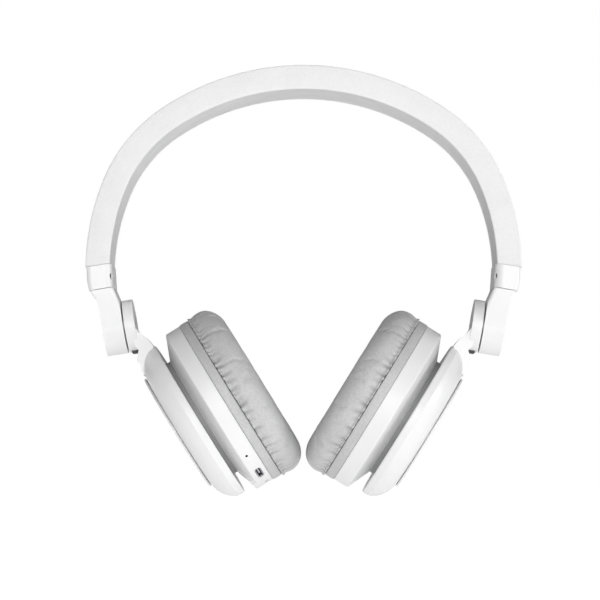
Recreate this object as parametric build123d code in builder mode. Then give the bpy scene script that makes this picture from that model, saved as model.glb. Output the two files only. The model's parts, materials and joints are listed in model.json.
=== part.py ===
from build123d import *
from math import cos, radians, sin
import os

# Foldable wireless headphones. Millimetres, the front faces -Y, +X is to the right in the front
# view, +Z up. The origin is the middle of the headband pad's underside.
# Every left piece is modelled in place, and its right twin is the mirror image about X = 0.

# ---------------------------------------------------------------- driving dimensions

# Headband: three tangent arcs on each side, measured along the pad's underside.
crown_radius = 96.4
shoulder_radius = 56.5
side_radius = 89.4
crown_heading = 34.3
shoulder_heading = 67.5
end_heading = 96.0
band_half_width = 15.0
band_thickness = 10.3
cover_wall = 1.4
cover_cut_low = -2.0
pad_thickness = 3.0
core_low = 3.2
core_high = 8.7
layer_gap = 0.1
spring_half_width = 5.0
spring_low = 5.8
spring_high = 6.4
spring_heading = 70.0
spring_slot_margin = 1.0
ribbon_low = 4.0
ribbon_high = 4.5
ribbon_middle = 9.5
ribbon_half_width = 1.9
ribbon_heading = 85.0

# Seam between the leatherette band and the collar at its end.
seam_x = -85.95
seam_z = -74.8
seam_tilt = 8.9
seam_trim_reach = 12.0
seam_trim_drop = 25.0
cut_margin = 1.0

# Collar, and the straight steel rail that slides in it.
collar_outer_x = -91.4
collar_inner_x = -81.0
collar_waist = (-91.25, -80.9)
collar_foot_outer = (-90.35, -85.45)
collar_foot_inner = (-80.3, -83.75)
collar_round = 3.8
collar_outer_round = 2.0
tail_outer_x = -89.0
tail_inner_x = -82.7
tail_bottom_z = -82.6
tail_half_width = 13.2
tail_inner_wall = 0.6
collar_pocket_rise = 5.0
rail_x = -85.8
rail_thickness = 1.0
rail_half_width = 6.5
rail_top_z = -52.0
rail_bend_z = -88.0
rail_foot = (-84.2, -96.8)
rail_clearance = 0.3
rail_channel_top = -51.0
rail_channel_bottom = -90.0
detent_pitch = 4.0
detent_radius = 0.8
detent_offset = 0.5
detent_count = 7
detent_low_z = -81.0
detent_slot_top = -75.4
detent_half_width = 2.4
detent_leaf_offset = 0.85
detent_leaf_thickness = 0.3
detent_nose_radius = 0.6
collar_screw_y = 12.3
collar_screw_z = -79.2
collar_screw_recess = 1.1
collar_screw_access_radius = 1.5
collar_screw_access = 6.0
collar_screw_head_radius = 1.35
collar_screw_head_height = 0.8
collar_screw_length = 5.0
screw_radius = 0.9
screw_head_radius = 1.7
screw_head_height = 1.1

# Fold pivot between arm and knuckle: its axis leans 9 degrees from X.
pivot_x = -75.9
pivot_z = -99.94
pivot_lean = 9.0
knuckle_radius = 11.2
arm_outer_depth = -9.2
arm_inner_depth = -0.3
arm_top_half_width = 14.2
arm_top_reach = 17.5
arm_trim_depth = 20.0
arm_collar_gap = 0.2
arm_inner_shoulder_reach = -10.7
arm_outer_shoulder_reach = -9.0
arm_outer_hip = (-9.75, -12.6)
arm_edge_round = 1.0
arm_slope_round = 1.5
knuckle_near = 0.35
knuckle_far = 4.7
pin_radius = 2.0
pin_running_gap = 0.05
pin_inner_end = -7.6
pin_head_radius = 3.6
pin_head_near = 3.0
pin_head_far = 4.65
pin_head_gap = 0.1
washer_radius = 6.0
washer_thickness = 0.45
bridge_half_width = 9.0
bridge_root = ((3.2, 0.5), (4.7, 1.6))
bridge_outline = (
    (-69.7, -102.5),
    (-67.1, -104.4),
    (-65.4, -106.1),
    (-63.4, -108.6),
    (-64.0, -116.0),
    (-67.4, -121.0),
    (-68.5, -118.1),
    (-68.7, -116.6),
    (-70.6, -114.4),
    (-70.1, -112.6),
)
bridge_heel = ((4.6, 11.2), (3.2, 9.2))
stop_low = 1.4
stop_high = 4.5
stop_half_width = 3.5
stop_reach = 11.9
stop_root = 9.6
stop_round = 0.4

# Ear cup: its axis leans up towards the ear, and depths run along it that way.
cup_x = -32.9
cup_z = -132.19
cup_lean = 31.68
rim_radius = 38.0
rim_wall = 2.0
rim_corner = ((38.0, -6.2), (37.9, -6.6), (37.5, -6.9))
rim_inside_depth = -5.9
neck_radius = 27.4
neck_depth = -11.1
neck_inside_depth = -9.45
neck_wall = 1.8
neck_end = -17.5
neck_top = -8.0
neck_lip_width = 1.1
neck_lip_low = -8.9
neck_floor_low = -11.6
neck_floor_high = -10.2
flange_radius = 38.2
flange_depth = 4.3
flange_inner_radius = 24.0
flange_pocket_depth = 1.5
cushion_radius = 38.8
cushion_inner_radius = 18.5
cushion_depth = 16.7
cushion_crown = 6.2
cushion_seam_round = 1.2

# Shell behind the cup, with a dome cap on its outside.
shell_hole_radius = 28.1
shell_radius = 36.4
shell_crease_depth = -16.0
shell_shoulder = (32.7, -21.0)
shell_face_radius = 27.0
shell_face = -23.2
shell_lip_depth = -13.5
shell_lip_round = (36.22, -13.05)
shell_lip_inside = (35.8, -12.85)
shell_web_face = -13.6
shell_web_back = -15.6
shell_floor = -21.8
shell_floor_radius = 26.2
shell_inside_shoulder = (31.2, -19.8)
shell_inside_radius = 34.6
cap_foot_radius = 25.2
cap_foot_depth = -23.75
cap_radius = 26.6
cap_rim_depth = -24.15
cap_bevel = (26.35, -24.45)
cap_crown_depth = -24.9
cap_crown_radius = 4.0

# Ball joint that lets the cup tilt in the shell.
ball_depth = -16.0
ball_radius = 4.0
liner_radius = 4.9
joint_gap = 0.05
stud_radius = 1.9
stud_flange_radius = 6.0
stud_flange_thickness = 1.0
socket_radius = 7.5
socket_flange_radius = 13.0
socket_flange_thickness = 1.4
socket_mouth = -13.0
liner_mouth = -13.6
socket_screw_radius = 10.4
socket_screw_angles = (30, 150, 270)
socket_screw_length = 2.4
socket_screw_hole = 2.0

# Loudspeaker and its carrier.
baffle_radius = 35.6
baffle_thickness = 1.0
baffle_boss_radius = 23.5
baffle_boss_depth = 1.8
baffle_pocket_radius = 18.0
baffle_pocket_depth = 0.6
sound_hole_radius = 1.3
sound_hole_rings = ((0.0, 1), (4.6, 6), (9.2, 12), (13.8, 18))
basket_radius = 20.0
basket_inner_radius = 17.6
basket_back = -7.6
basket_plate = 1.2
magnet_radius = 10.0
magnet_back = -8.8
magnet_front = -5.0
diaphragm_radius = 17.4
diaphragm_rim = -1.6
diaphragm_crown = 0.2
diaphragm_thickness = 0.3
cloth_low = 1.9
cloth_high = 2.5
post_ring_radius = 31.0
post_radius = 2.4
post_angles = (8, 172, 270)
post_foot = -8.2
post_solid_foot = 2.0
baffle_screw_length = 4.5

# Openings and controls on the left rim: angles run from the front, down and to the rear.
rim_cut_radius = 38.5
rim_cut_depth = 3.0
rocker_cut_depth = 3.5
pod_start = 70.0
pod_end = 165.0
pod_corners = (
    (37.0, -5.8),
    (38.0, -5.8),
    (38.0, -7.7),
    (37.6, -8.2),
    (33.6, -9.1),
    (28.6, -10.85),
    (28.6, -10.2),
)
led_angle = 40.0
led_depth = -4.0
led_radius = 0.6
led_length = 2.6
usb_angle = 60.4
usb_depth = -3.2
usb_opening = (7.9, 2.8)
usb_opening_round = 1.1
usb_shell = (7.5, 2.4)
usb_shell_round = 0.9
usb_shell_wall = 0.3
usb_shell_radius = 37.6
usb_length = 6.2
usb_tongue = (4.4, 0.7)
usb_tongue_recess = 1.0
usb_leg_radius = 0.5
usb_leg_spacing = 5.4
usb_leg_inset = 5.4
microphone_angle = 79.0
microphone_depth = -2.5
microphone_slot = (2.4, 1.3)
jack_angle = 100.0
jack_depth = -3.4
jack_bore_radius = 1.8
jack_nose_radius = 2.3
jack_nose_top = 37.8
jack_body_top = 35.5
jack_body_foot = 23.1
jack_bore_foot = 24.5
jack_width = 7.0
jack_height = 4.7
button_angle = 118.0
button_depth = -3.5
button_radius = 1.9
button_flange_radius = 2.4
button_flange_thickness = 0.8
button_top = 38.6
button_round = 0.3
button_gap = 0.15
rocker_angle = 144.0
rocker_length = 12.0
rocker_height = 3.4
rocker_gap = 0.3
rocker_top = 38.6
rocker_foot = 34.6
rocker_lip = (13.2, 4.2)
rocker_lip_thickness = 0.6
control_back_gap = 0.35
board_inner_radius = 22.0
board_outer_radius = 33.0
board_low = -6.8
board_high = -6.0
board_start = 30.0
board_end = 158.0
chip_angles = (48, 76, 128)
chip_ring_radius = 25.3
chip_size = 2.5
chip_height = 1.0
battery_radius = 27.6
battery_size = (22.0, 11.0, 4.4)
battery_low = -5.9
battery_round = 1.0

os.makedirs("parts", exist_ok=True)

# ---------------------------------------------------------------- frames

cup_inward = Vector(cos(radians(cup_lean)), 0, sin(radians(cup_lean)))
cup_up = Vector(-sin(radians(cup_lean)), 0, cos(radians(cup_lean)))
cup_front = Vector(0, -1, 0)
cup_origin = Vector(cup_x, 0, cup_z)
cup_axis = Axis(cup_origin, cup_inward)
cup_section = Plane(origin=cup_origin, x_dir=cup_front, z_dir=cup_up)

pivot_inward = Vector(cos(radians(pivot_lean)), 0, sin(radians(pivot_lean)))
pivot_down = Vector(sin(radians(pivot_lean)), 0, -cos(radians(pivot_lean)))
pivot_origin = Vector(pivot_x, 0, pivot_z)


def cup_plane(depth):
    """A plane square to the cup's axis: local x to the front, local y downward."""
    return Plane(origin=cup_origin + cup_inward * depth, x_dir=cup_front, z_dir=cup_inward)


def pivot_plane(depth):
    """A plane square to the fold axis: local x to the rear, local y up the arm."""
    return Plane(origin=pivot_origin + pivot_inward * depth, x_dir=(0, 1, 0), z_dir=pivot_inward)


def pivot_point(depth, reach):
    """The (x, z) of a point at a depth along the fold axis and a reach down the arm."""
    lean = radians(pivot_lean)
    x = pivot_x + depth * cos(lean) + reach * sin(lean)
    z = pivot_z + depth * sin(lean) - reach * cos(lean)
    return (x, z)


def rim_plane(angle, depth, radius):
    """A plane facing radially out of the cup: local x along the rim, local y towards the ear."""
    outward = cup_front * cos(radians(angle)) - cup_up * sin(radians(angle))
    along = cup_front * -sin(radians(angle)) - cup_up * cos(radians(angle))
    return Plane(
        origin=cup_origin + cup_inward * depth + outward * radius,
        x_dir=along,
        z_dir=outward,
    )


def seam_line_z(x):
    """Height of the left seam at a given x."""
    return seam_z + (x - seam_x) * sin(radians(seam_tilt)) / cos(radians(seam_tilt))


# ---------------------------------------------------------------- shared steps


def turn(*corners, mode=Mode.ADD):
    """Turn a polygon of (radius, depth) corners about the cup's axis."""
    with BuildSketch(cup_section) as profile:
        with BuildLine():
            Polyline(*corners, close=True)
        make_face()
    revolve(profile.sketch, axis=cup_axis, mode=mode)


def turn_ring(inner, outer, low, high, mode=Mode.ADD):
    """Turn a plain ring or disc about the cup's axis."""
    turn((inner, low), (outer, low), (outer, high), (inner, high), mode=mode)


def round_bar(plane, radius, length, mode=Mode.ADD):
    """A round bar, or hole, from a plane along its normal."""
    with BuildSketch(plane) as profile:
        Circle(radius)
    extrude(profile.sketch, amount=length, mode=mode)


def box_bar(plane, width, height, length, mode=Mode.ADD):
    """A rectangular bar, or hole, from a plane along its normal."""
    with BuildSketch(plane) as profile:
        Rectangle(width, height)
    extrude(profile.sketch, amount=length, mode=mode)


def mirrored(corners):
    """The same (x, z) corners on the right side."""
    return [(-x, z) for x, z in corners]


def side_plate(corners, half_width, mode=Mode.ADD):
    """A plate drawn by (x, z) corners and thickened equally to the front and rear."""
    with BuildSketch(Plane.XZ) as profile:
        with BuildLine():
            Polyline(*corners, close=True)
        make_face()
    extrude(profile.sketch, amount=half_width, both=True, mode=mode)


def band_layer(low, high, half_width, heading=end_heading, middle=0.0, mode=Mode.ADD):
    """A layer of the headband between two distances outward of the pad's underside."""
    crown = Vector(0, -crown_radius)
    step_out = crown_radius - shoulder_radius
    shoulder = crown + Vector(sin(radians(crown_heading)), cos(radians(crown_heading))) * step_out
    step_in = shoulder_radius - side_radius
    side = shoulder + Vector(sin(radians(shoulder_heading)), cos(radians(shoulder_heading))) * step_in
    shoulder_turn = shoulder_heading - crown_heading
    side_turn = heading - shoulder_heading
    ends = []
    with BuildSketch(Plane.XZ.offset(-middle)) as profile:
        with BuildLine():
            for distance in (low, high):
                CenterArc(crown, crown_radius + distance, 90 - crown_heading, 2 * crown_heading)
                CenterArc(shoulder, shoulder_radius + distance, 90 - shoulder_heading, shoulder_turn)
                right_end = CenterArc(side, side_radius + distance, 90 - heading, side_turn)
                left_shoulder = (-shoulder.X, shoulder.Y)
                CenterArc(left_shoulder, shoulder_radius + distance, 90 + crown_heading, shoulder_turn)
                left_side = (-side.X, side.Y)
                left_end = CenterArc(left_side, side_radius + distance, 90 + shoulder_heading, side_turn)
                ends.append((right_end @ 0, left_end @ 1))
            Line(ends[0][0], ends[1][0])
            Line(ends[0][1], ends[1][1])
        make_face()
    extrude(profile.sketch, amount=half_width, both=True, mode=mode)


def trim_at_seams():
    """Cut both ends of the band along the seams with its collars."""
    outer_x = seam_x - seam_trim_reach
    inner_x = seam_x + seam_trim_reach
    below_seam = (
        (outer_x, seam_line_z(outer_x)),
        (inner_x, seam_line_z(inner_x)),
        (inner_x, seam_z - seam_trim_drop),
        (outer_x, seam_z - seam_trim_drop),
    )
    side_plate(below_seam, band_half_width + cut_margin, mode=Mode.SUBTRACT)
    side_plate(mirrored(below_seam), band_half_width + cut_margin, mode=Mode.SUBTRACT)


def write(piece, name):
    """Label a piece and write it."""
    piece.part.label = name
    export_step(piece.part, f"parts/{name}.step")


def write_right(piece, name):
    """Write the mirror image of a left piece."""
    with BuildPart() as twin:
        mirror(piece.part, about=Plane.YZ)
    write(twin, f"right_{name}")


def write_pair(piece, name):
    """Write a left piece and its mirror image."""
    write(piece, f"left_{name}")
    write_right(piece, name)


# ---------------------------------------------------------------- headband

rail_corners = (
    (rail_x - rail_thickness / 2, rail_top_z),
    (rail_x + rail_thickness / 2, rail_top_z),
    (rail_x + rail_thickness / 2, rail_bend_z),
    (rail_foot[0] + rail_thickness / 2, rail_foot[1]),
    (rail_foot[0] - rail_thickness / 2, rail_foot[1]),
    (rail_x - rail_thickness / 2, rail_bend_z),
)
rail_channel = (
    (rail_x - rail_thickness / 2 - rail_clearance, rail_channel_top),
    (rail_x + rail_thickness / 2 + rail_clearance, rail_channel_top),
    (rail_x + rail_thickness / 2 + rail_clearance, rail_channel_bottom),
    (rail_x - rail_thickness / 2 - rail_clearance, rail_channel_bottom),
)
spring_slot_x = (rail_x + rail_thickness / 2, tail_inner_x - tail_inner_wall)
detent_slot = (
    (spring_slot_x[0], detent_slot_top),
    (spring_slot_x[1], detent_slot_top),
    (spring_slot_x[1], tail_bottom_z - cut_margin),
    (spring_slot_x[0], tail_bottom_z - cut_margin),
)
tail_corners = (
    (tail_outer_x, seam_line_z(tail_outer_x)),
    (tail_inner_x, seam_line_z(tail_inner_x)),
    (tail_inner_x, tail_bottom_z),
    (tail_outer_x, tail_bottom_z),
)

collar_screw_hole = collar_screw_length + cut_margin


def collar_screw_plane(side, y):
    """The seat of a collar screw, facing the ear: side is -1 on the left and 1 on the right."""
    seat_x = collar_inner_x - collar_screw_recess
    return Plane(origin=(-side * seat_x, y, collar_screw_z), x_dir=(0, 1, 0), z_dir=(-side, 0, 0))


with BuildPart() as headband_cover:
    band_layer(0.0, band_thickness, band_half_width)
    band_layer(cover_cut_low, band_thickness - cover_wall, band_half_width - cover_wall, mode=Mode.SUBTRACT)
    trim_at_seams()
write(headband_cover, "headband_cover")

with BuildPart() as headband_pad:
    band_layer(0.0, pad_thickness, band_half_width - cover_wall - layer_gap)
    trim_at_seams()
write(headband_pad, "headband_pad")

with BuildPart() as headband_core:
    band_layer(core_low, core_high, band_half_width - cover_wall - layer_gap)
    trim_at_seams()
    band_layer(0.0, spring_high + layer_gap, spring_half_width + layer_gap,
               heading=spring_heading + spring_slot_margin, mode=Mode.SUBTRACT)
    band_layer(0.0, ribbon_high + layer_gap, ribbon_half_width + layer_gap,
               middle=ribbon_middle, mode=Mode.SUBTRACT)
    for corners in (tail_corners, mirrored(tail_corners)):
        side_plate(corners, tail_half_width)
    for corners in (rail_channel, mirrored(rail_channel)):
        side_plate(corners, rail_half_width + rail_clearance, mode=Mode.SUBTRACT)
    for corners in (detent_slot, mirrored(detent_slot)):
        side_plate(corners, detent_half_width, mode=Mode.SUBTRACT)
    for side in (-1, 1):
        for y in (-collar_screw_y, collar_screw_y):
            round_bar(collar_screw_plane(side, y), screw_radius, -collar_screw_hole, mode=Mode.SUBTRACT)
write(headband_core, "headband_core")

with BuildPart() as headband_spring:
    band_layer(spring_low, spring_high, spring_half_width, heading=spring_heading)
write(headband_spring, "headband_spring")

with BuildPart() as headband_ribbon:
    band_layer(ribbon_low, ribbon_high, ribbon_half_width, heading=ribbon_heading, middle=ribbon_middle)
write(headband_ribbon, "headband_ribbon")

# ---------------------------------------------------------------- collars

collar_corners = (
    (collar_outer_x, seam_line_z(collar_outer_x)),
    collar_waist,
    collar_foot_outer,
    collar_foot_inner,
    (collar_inner_x, seam_line_z(collar_inner_x)),
)
collar_pocket = (
    (tail_outer_x - layer_gap, seam_z + collar_pocket_rise),
    (tail_inner_x + layer_gap, seam_z + collar_pocket_rise),
    (tail_inner_x + layer_gap, tail_bottom_z - layer_gap),
    (tail_outer_x - layer_gap, tail_bottom_z - layer_gap),
)

with BuildPart() as collar:
    side_plate(collar_corners, band_half_width)
    upright = collar.edges().filter_by(lambda edge: abs(edge.tangent_at(0.5).Z) > 0.9)
    fillet(upright.group_by(Axis.X)[-1], radius=collar_round)
    upright = collar.edges().filter_by(lambda edge: abs(edge.tangent_at(0.5).Z) > 0.9)
    fillet(upright.filter_by(lambda edge: edge.center().X < seam_x), radius=collar_outer_round)
    side_plate(collar_pocket, tail_half_width + layer_gap, mode=Mode.SUBTRACT)
    side_plate(rail_channel, rail_half_width + rail_clearance, mode=Mode.SUBTRACT)
    for y in (-collar_screw_y, collar_screw_y):
        seat = collar_screw_plane(-1, y)
        round_bar(seat, screw_radius, -collar_screw_hole, mode=Mode.SUBTRACT)
        round_bar(seat, collar_screw_access_radius, collar_screw_access, mode=Mode.SUBTRACT)
write_pair(collar, "collar")

with BuildPart() as collar_screws:
    for side in (-1, 1):
        for y in (-collar_screw_y, collar_screw_y):
            seat = collar_screw_plane(side, y)
            round_bar(seat, collar_screw_head_radius, collar_screw_head_height)
            round_bar(seat, screw_radius - layer_gap, -collar_screw_length)
write(collar_screws, "collar_screws")

# ---------------------------------------------------------------- sliding arm

arm_corners = (
    (collar_foot_outer[0] + layer_gap, collar_foot_outer[1] - arm_collar_gap),
    (collar_foot_inner[0], collar_foot_inner[1] - arm_collar_gap),
    pivot_point(arm_inner_depth, arm_inner_shoulder_reach),
    pivot_point(arm_inner_depth, knuckle_radius),
    pivot_point(arm_outer_depth, knuckle_radius),
    pivot_point(arm_outer_depth, arm_outer_shoulder_reach),
    pivot_point(*arm_outer_hip),
)

with BuildPart() as rail:
    side_plate(rail_corners, rail_half_width)
    for step in range(detent_count):
        notch_z = detent_low_z + step * detent_pitch
        notch = Plane(origin=(rail_x + rail_thickness / 2 + detent_offset, 0, notch_z), z_dir=(0, 1, 0))
        with BuildSketch(notch) as profile:
            Circle(detent_radius)
        extrude(profile.sketch, amount=detent_half_width, both=True, mode=Mode.SUBTRACT)
write_pair(rail, "rail")

with BuildPart() as arm:
    side_plate(arm_corners, arm_top_half_width + cut_margin)
    with BuildSketch(pivot_plane(0)) as outline:
        Circle(knuckle_radius)
        with BuildLine():
            Polyline(
                (-knuckle_radius, 0),
                (knuckle_radius, 0),
                (arm_top_half_width, arm_top_reach),
                (-arm_top_half_width, arm_top_reach),
                close=True,
            )
        make_face()
    extrude(outline.sketch, amount=arm_trim_depth, both=True, mode=Mode.INTERSECT)
    outer_face = arm.faces().sort_by(Axis(pivot_origin, pivot_inward))[0]
    fillet(outer_face.edges(), radius=arm_edge_round)
    slope = arm.faces().filter_by(lambda face: face.normal_at().X > 0.9).sort_by(Axis.Z)[-1]
    fillet(slope.edges().filter_by(lambda edge: abs(edge.tangent_at(0.5).Z) > 0.9), radius=arm_slope_round)
    add(rail.part, mode=Mode.SUBTRACT)
    round_bar(pivot_plane(pin_inner_end), pin_radius, cut_margin - pin_inner_end, mode=Mode.SUBTRACT)
write_pair(arm, "arm")

leaf_x = rail_x + rail_thickness / 2 + detent_leaf_offset
leaf_top = detent_slot_top - layer_gap
leaf_foot = tail_bottom_z + 2 * layer_gap
leaf_corners = (
    (leaf_x, leaf_top),
    (leaf_x + detent_leaf_thickness, leaf_top),
    (leaf_x + detent_leaf_thickness, leaf_foot),
    (leaf_x, leaf_foot),
)

with BuildPart() as detent_spring:
    side_plate(leaf_corners, detent_half_width - layer_gap)
    nose = Plane(origin=(leaf_x, 0, detent_low_z + detent_pitch), z_dir=(0, 1, 0))
    with BuildSketch(nose) as profile:
        Circle(detent_nose_radius)
    extrude(profile.sketch, amount=detent_half_width - layer_gap, both=True)
write_pair(detent_spring, "detent_spring")

with BuildPart() as pivot_pin:
    round_bar(pivot_plane(pin_inner_end), pin_radius, pin_head_far - pin_inner_end)
    round_bar(pivot_plane(pin_head_near), pin_head_radius, pin_head_far - pin_head_near)
write_pair(pivot_pin, "pivot_pin")

with BuildPart() as pivot_washer:
    round_bar(pivot_plane(arm_inner_depth), washer_radius, washer_thickness)
    round_bar(pivot_plane(arm_inner_depth), pin_radius, washer_thickness, mode=Mode.SUBTRACT)
write_pair(pivot_washer, "pivot_washer")

# ---------------------------------------------------------------- yoke and shell

bridge_corners = (
    *[pivot_point(*corner) for corner in bridge_root],
    *bridge_outline,
    *[pivot_point(*corner) for corner in bridge_heel],
)

stop_x, stop_z = pivot_point((stop_low + stop_high) / 2, stop_root)
stop_plane = Plane(origin=(stop_x, 0, stop_z), x_dir=pivot_inward, z_dir=pivot_down)

with BuildPart() as yoke_shell:
    with BuildSketch(cup_section) as profile:
        with BuildLine():
            face = Line((0, shell_face), (shell_face_radius, shell_face))
            side_curve = ThreePointArc(face @ 1, shell_shoulder, (shell_radius, shell_crease_depth))
            lip = Line(side_curve @ 1, (shell_radius, shell_lip_depth))
            lip_round = ThreePointArc(lip @ 1, shell_lip_round, shell_lip_inside)
            web = Line(lip_round @ 1, (shell_hole_radius, shell_web_face))
            Polyline(web @ 1, (0, shell_web_face), (0, shell_face))
        make_face()
    revolve(profile.sketch, axis=cup_axis)
    side_plate(bridge_corners, bridge_half_width)
    round_bar(pivot_plane(knuckle_near), knuckle_radius, knuckle_far - knuckle_near)
    with BuildSketch(cup_section) as profile:
        with BuildLine():
            floor = Line((0, shell_floor), (shell_floor_radius, shell_floor))
            wall = ThreePointArc(floor @ 1, shell_inside_shoulder, (shell_inside_radius, shell_web_back))
            Polyline(
                wall @ 1,
                (shell_hole_radius, shell_web_back),
                (shell_hole_radius, neck_depth),
                (0, neck_depth),
                floor @ 0,
            )
        make_face()
    revolve(profile.sketch, axis=cup_axis, mode=Mode.SUBTRACT)
    round_bar(pivot_plane(knuckle_near), pin_radius + pin_running_gap, knuckle_far, mode=Mode.SUBTRACT)
    round_bar(pivot_plane(pin_head_near - layer_gap), pin_head_radius + pin_head_gap, knuckle_far,
              mode=Mode.SUBTRACT)
    box_bar(stop_plane, stop_high - stop_low, 2 * stop_half_width, stop_reach, mode=Mode.SUBTRACT)
    for angle in socket_screw_angles:
        centre = rim_plane(angle, shell_floor - cut_margin, socket_screw_radius).origin
        round_bar(Plane(origin=centre, z_dir=cup_inward), screw_radius, socket_screw_hole, mode=Mode.SUBTRACT)
write_pair(yoke_shell, "yoke_shell")

with BuildPart() as shell_cap:
    with BuildSketch(cup_section) as profile:
        with BuildLine():
            rim = Polyline(
                (0, shell_face),
                (cap_foot_radius, shell_face),
                (cap_foot_radius, cap_foot_depth),
                (cap_radius, cap_foot_depth),
                (cap_radius, cap_rim_depth),
                cap_bevel,
            )
            dome = TangentArc((cap_crown_radius, cap_crown_depth), cap_bevel, tangent=(1, 0))
            Polyline(dome @ 0, (0, cap_crown_depth), rim @ 0)
        make_face()
    revolve(profile.sketch, axis=cup_axis)
write_pair(shell_cap, "shell_cap")

with BuildPart() as fold_stop:
    box_bar(stop_plane, stop_high - stop_low, 2 * stop_half_width, stop_reach - stop_root)
    fillet(fold_stop.edges().group_by(Axis(pivot_origin, pivot_down))[-1], radius=stop_round)
write_pair(fold_stop, "fold_stop")


def ball(radius, mode=Mode.ADD):
    """A ball about the tilt centre."""
    with BuildSketch(cup_section) as profile:
        with BuildLine():
            half = CenterArc((0, ball_depth), radius, -90, 180)
            Line(half @ 1, half @ 0)
        make_face()
    revolve(profile.sketch, axis=cup_axis, mode=mode)


socket_flange_top = shell_floor + socket_flange_thickness

with BuildPart() as ball_socket:
    turn_ring(0, socket_flange_radius, shell_floor, socket_flange_top)
    turn_ring(0, socket_radius, socket_flange_top, socket_mouth)
    ball(liner_radius + joint_gap, mode=Mode.SUBTRACT)
    for angle in socket_screw_angles:
        centre = rim_plane(angle, shell_floor, socket_screw_radius).origin
        seat = Plane(origin=centre, z_dir=cup_inward)
        round_bar(seat, screw_radius, socket_flange_thickness, mode=Mode.SUBTRACT)
write_pair(ball_socket, "ball_socket")

with BuildPart() as socket_screws:
    for angle in socket_screw_angles:
        centre = rim_plane(angle, socket_flange_top, socket_screw_radius).origin
        seat = Plane(origin=centre, z_dir=cup_inward)
        round_bar(seat, screw_head_radius, screw_head_height)
        round_bar(seat, screw_radius - layer_gap, -socket_screw_length)
write_pair(socket_screws, "socket_screws")

with BuildPart() as ball_liner:
    ball(liner_radius)
    ball(ball_radius + joint_gap, mode=Mode.SUBTRACT)
    turn_ring(0, liner_radius, liner_mouth, neck_floor_high, mode=Mode.SUBTRACT)
write_pair(ball_liner, "ball_liner")

# ---------------------------------------------------------------- ear cup

stud_top = neck_floor_high + stud_flange_thickness

with BuildPart() as ball_stud:
    ball(ball_radius)
    turn_ring(0, stud_radius, ball_depth, stud_top)
    turn_ring(0, stud_flange_radius, neck_floor_high, stud_top)
write_pair(ball_stud, "ball_stud")

with BuildPart() as neck_ring:
    turn_ring(neck_radius - neck_wall, neck_radius, neck_end, neck_top)
    turn_ring(stud_radius + layer_gap, neck_radius - neck_wall, neck_floor_low, neck_floor_high)
    turn_ring(neck_radius, neck_radius + neck_lip_width, neck_lip_low, neck_top)
write_pair(neck_ring, "neck_ring")

with BuildPart() as cup_housing:
    turn(
        (rim_radius, 0),
        *rim_corner,
        (neck_radius + layer_gap, neck_depth),
        (neck_radius + layer_gap, neck_inside_depth),
        (rim_radius - rim_wall, rim_inside_depth),
        (rim_radius - rim_wall, 0),
    )
    for angle in post_angles:
        centre = rim_plane(angle, post_foot, post_ring_radius).origin
        foot = Plane(origin=centre, z_dir=cup_inward)
        round_bar(foot, post_radius, -baffle_thickness - post_foot)
        round_bar(foot.offset(post_solid_foot), screw_radius - layer_gap, -post_foot, mode=Mode.SUBTRACT)
write_right(cup_housing, "cup_housing")

with BuildPart() as baffle:
    turn_ring(0, baffle_radius, -baffle_thickness, 0)
    turn_ring(0, baffle_boss_radius, 0, baffle_boss_depth)
    turn_ring(0, baffle_pocket_radius, -baffle_thickness, baffle_pocket_depth, mode=Mode.SUBTRACT)
    for ring_radius, count in sound_hole_rings:
        with BuildSketch(cup_plane(0)) as holes:
            with PolarLocations(ring_radius, count):
                Circle(sound_hole_radius)
        extrude(holes.sketch, amount=baffle_boss_depth, mode=Mode.SUBTRACT)
    for angle in post_angles:
        centre = rim_plane(angle, 0, post_ring_radius).origin
        seat = Plane(origin=centre, z_dir=cup_inward)
        round_bar(seat, screw_radius, -baffle_thickness, mode=Mode.SUBTRACT)
write_pair(baffle, "baffle")

with BuildPart() as baffle_screws:
    for angle in post_angles:
        centre = rim_plane(angle, 0, post_ring_radius).origin
        seat = Plane(origin=centre, z_dir=cup_inward)
        round_bar(seat, screw_head_radius, screw_head_height)
        round_bar(seat, screw_radius - 2 * layer_gap, -baffle_screw_length)
write_pair(baffle_screws, "baffle_screws")

with BuildPart() as driver_basket:
    turn_ring(basket_inner_radius, basket_radius, basket_back, -baffle_thickness)
    turn_ring(magnet_radius + layer_gap, basket_inner_radius, basket_back, basket_back + basket_plate)
write_pair(driver_basket, "driver_basket")

with BuildPart() as driver_magnet:
    turn_ring(0, magnet_radius, magnet_back, magnet_front)
write_pair(driver_magnet, "driver_magnet")

with BuildPart() as diaphragm:
    with BuildSketch(cup_section) as profile:
        with BuildLine():
            crown = (0, diaphragm_crown)
            crown_below = (0, diaphragm_crown - diaphragm_thickness)
            rim_below = (diaphragm_radius, diaphragm_rim - diaphragm_thickness)
            upper = TangentArc(crown, (diaphragm_radius, diaphragm_rim), tangent=(1, 0))
            lower = TangentArc(crown_below, rim_below, tangent=(1, 0))
            Line(upper @ 1, lower @ 1)
            Line(lower @ 0, upper @ 0)
        make_face()
    revolve(profile.sketch, axis=cup_axis)
write_pair(diaphragm, "diaphragm")

with BuildPart() as grille_cloth:
    turn_ring(0, baffle_boss_radius, cloth_low, cloth_high)
write_pair(grille_cloth, "grille_cloth")

with BuildPart() as cushion_flange:
    turn_ring(flange_inner_radius, flange_radius, 0, flange_depth)
    for angle in post_angles:
        centre = rim_plane(angle, 0, post_ring_radius).origin
        pocket = Plane(origin=centre, z_dir=cup_inward)
        round_bar(pocket, screw_head_radius + rail_clearance, flange_pocket_depth, mode=Mode.SUBTRACT)
write_pair(cushion_flange, "cushion_flange")

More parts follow.
